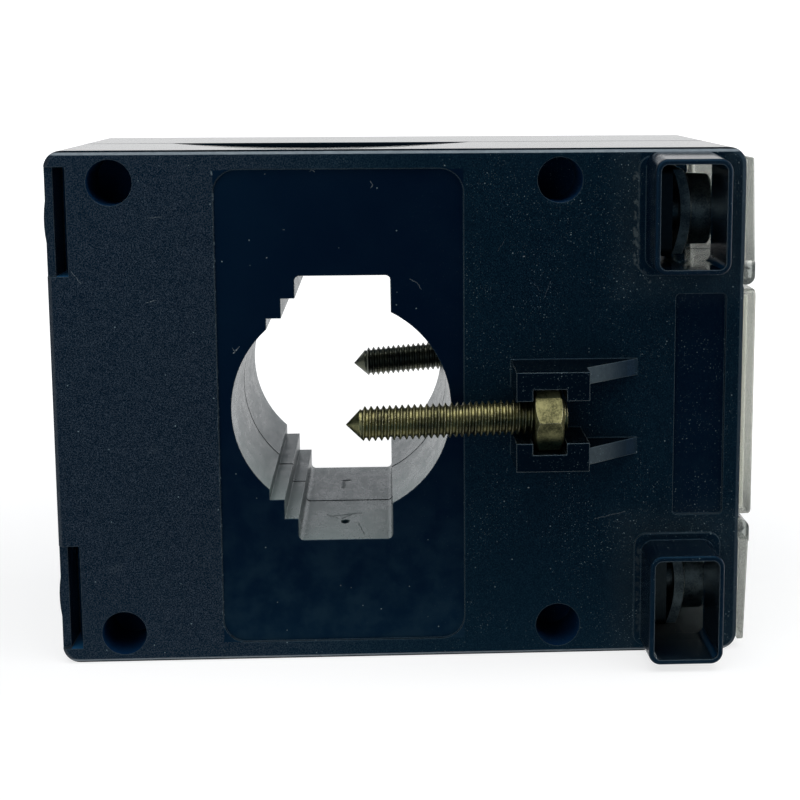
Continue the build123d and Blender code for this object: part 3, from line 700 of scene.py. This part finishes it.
def shroud_brow(row, side, face, out):
    """Sloping outer wall of a wire entry shroud, higher where it leaves the case."""
    centre, (reach_x, reach_z) = shroud_centre, shroud_half
    base_rise = half_width - edge_chamfer - centre[1] - reach_z
    profile = []
    for step in range(brow_steps + 1):
        angle = math.pi / 2 * step / brow_steps
        profile.append((-reach_x + shroud_corner * (1 - math.cos(angle)),
                        reach_z - shroud_corner * (1 - math.sin(angle))))
    profile += [(-px, pz) for px, pz in reversed(profile)]
    foot = half_depth - brow_sink
    tip = half_depth + shroud_height - brow_tip_gap
    mesh = bmesh.new()
    rows = []
    for y, rise, lift in ((foot, base_rise, brow_lift), (tip, 0.0, brow_lift),
                          (tip, 0.0, -brow_sink), (foot, 0.0, -brow_sink)):
        rows.append([mesh.verts.new(((centre[0] + px * (1 + lift / reach_x)) * MM, out * y * MM,
                                     side * (centre[1] + pz + lift + rise) * MM))
                     for px, pz in profile])
    for near, far in zip(rows, rows[1:] + rows[:1]):
        for k in range(len(profile) - 1):
            mesh.faces.new((near[k], near[k + 1], far[k + 1], far[k]))
    for end in (0, -1):
        mesh.faces.new([line[end] for line in rows])
    name = f"shroud_brow_{row}_{face}"
    brow = add_object(name, closed_mesh(name, mesh, finishes["case_plastic"]))
    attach(brow, "case")


for row, side in (("upper", 1), ("lower", -1)):
    for face, out in (("front", -1), ("rear", 1)):
        shroud_brow(row, side, face, out)


# Floor and backdrop, in metres; the object's shadow fades with the distance in millimetres

floor_z = cad_low.z
reach = 2.0
backdrop_y = 0.6
backdrop_top = floor_z + 0.25
shadow_reach = 60.0
shadow_fade = 120.0
shadow_level = 0.74


class Stage(Finish):
    """A plain pale sheet: white to the camera and through the clear covers, a little darker near
    the object if shaded, so that its shadow shows; gloss sees the colours that gloss gives."""

    def __init__(self, name, corners, shaded, gloss):
        super().__init__(name, Roughness=0.9, Specular_IOR_Level=0.1)
        self.set(Base_Color=(0.80, 0.80, 0.80))
        shadowed = self.node("ShaderNodeBsdfDiffuse")
        shadowed.inputs["Color"].default_value = (0.36, 0.36, 0.36, 1)
        glow = self.node("ShaderNodeEmission")
        if shaded:
            far = self.calc("SUBTRACT", self.vector("LENGTH", self.place), shadow_reach)
            level = self.ramp(far, 0.0, shadow_fade, shadow_level, 1.0)
            self.put(level, glow.inputs["Strength"])
        seen = self.node("ShaderNodeAddShader")
        self.put(glow.outputs[0], seen.inputs[0])
        self.put(shadowed.outputs[0], seen.inputs[1])
        mirrored = self.node("ShaderNodeEmission")
        self.put(gloss(self), mirrored.inputs["Color"])
        path = self.node("ShaderNodeLightPath")
        direct = self.most(path.outputs["Is Camera Ray"], path.outputs["Is Transmission Ray"])
        result = self.join(path.outputs["Is Glossy Ray"], self.shader.outputs[0],
                           mirrored.outputs[0])
        result = self.join(direct, result, seen.outputs[0])
        self.put(result, self.tree.nodes["Material Output"].inputs["Surface"])
        data = bpy.data.meshes.new(name)
        data.from_pydata(corners, [], [(0, 1, 2, 3)])
        data.materials.append(self.material)
        sheet = add_object(name, data)

    def join(self, share, first, second):
        made = self.node("ShaderNodeMixShader")
        for value, target in zip((share, first, second), made.inputs):
            self.put(value, target)
        return made.outputs[0]


def floor_gloss(f):
    """White behind the object, and bluish dark before it, darker on the right."""
    x, y, _ = f.axes()
    dim = f.mix(f.ramp(x, -140.0, 40.0), (0.16, 0.26, 0.37), (0.012, 0.045, 0.085))
    return f.mix(f.ramp(y, -75.0, 25.0), dim, (1.0, 1.0, 1.0))


def backdrop_gloss(_):
    """White all over."""
    return 1.0, 1.0, 1.0, 1.0


Stage("floor", [(-reach, -reach, floor_z), (reach, -reach, floor_z),
                (reach, backdrop_y, floor_z), (-reach, backdrop_y, floor_z)], True, floor_gloss)
Stage("backdrop", [(-reach, backdrop_y, floor_z), (reach, backdrop_y, floor_z),
                   (reach, backdrop_y, backdrop_top), (-reach, backdrop_y, backdrop_top)],
      False, backdrop_gloss)


# World: white to the camera and through the clear covers, dim and bluish as a light

world = bpy.data.worlds.new("studio")
bpy.context.scene.world = world
world.use_nodes = True
tree = world.node_tree
background = tree.nodes["Background"]
background.inputs["Color"].default_value = (0.055, 0.075, 0.100, 1)
white = tree.nodes.new("ShaderNodeBackground")
white.inputs["Color"].default_value = (1, 1, 1, 1)
path = tree.nodes.new("ShaderNodeLightPath")
seen = tree.nodes.new("ShaderNodeMath")
seen.operation = "MAXIMUM"
blend = tree.nodes.new("ShaderNodeMixShader")
for source, target in (
        (path.outputs["Is Camera Ray"], seen.inputs[0]),
        (path.outputs["Is Transmission Ray"], seen.inputs[1]),
        (seen.outputs[0], blend.inputs["Fac"]),
        (background.outputs[0], blend.inputs[1]),
        (white.outputs[0], blend.inputs[2]),
        (blend.outputs[0], tree.nodes["World Output"].inputs["Surface"])):
    tree.links.new(source, target)


def softbox(name, place, target, width, height, power, colour=(1, 1, 1)):
    """Soft area lamp aimed at a point."""
    data = bpy.data.lights.new(name, "AREA")
    data.shape = "RECTANGLE"
    data.size, data.size_y = width, height
    data.energy = power
    data.color = colour
    lamp = add_object(name, data)
    lamp.location = place
    lamp.rotation_euler = (Vector(target) - Vector(place)).to_track_quat("-Z", "Y").to_euler()


softbox("overhead", (0.0, -0.18, 0.52), (0, -0.10, 0), 0.9, 0.55, 3.2)
softbox("left_front", (-0.30, -0.55, 0.15), (0, 0, 0), 0.35, 0.35, 0.6, (0.90, 0.96, 1.0))
softbox("right", (0.55, -0.10, 0.08), (0, 0, 0), 0.25, 0.45, 1.2)

# Camera of the photograph

camera_data = bpy.data.cameras.new("camera")
camera_data.sensor_width = 36.0
camera_data.lens = 70.266
camera_data.shift_x = -0.075
camera_data.shift_y = -0.125
camera_data.clip_start = 0.01
camera_data.clip_end = 10.0
camera = add_object("camera", camera_data)
camera.location = (5.242 * MM, -194.402 * MM, 38.786 * MM)
camera.rotation_euler = (math.radians(81.63), math.radians(0.193), math.radians(-2.779))
bpy.context.scene.camera = camera
bpy.context.scene.view_settings.view_transform = "Standard"
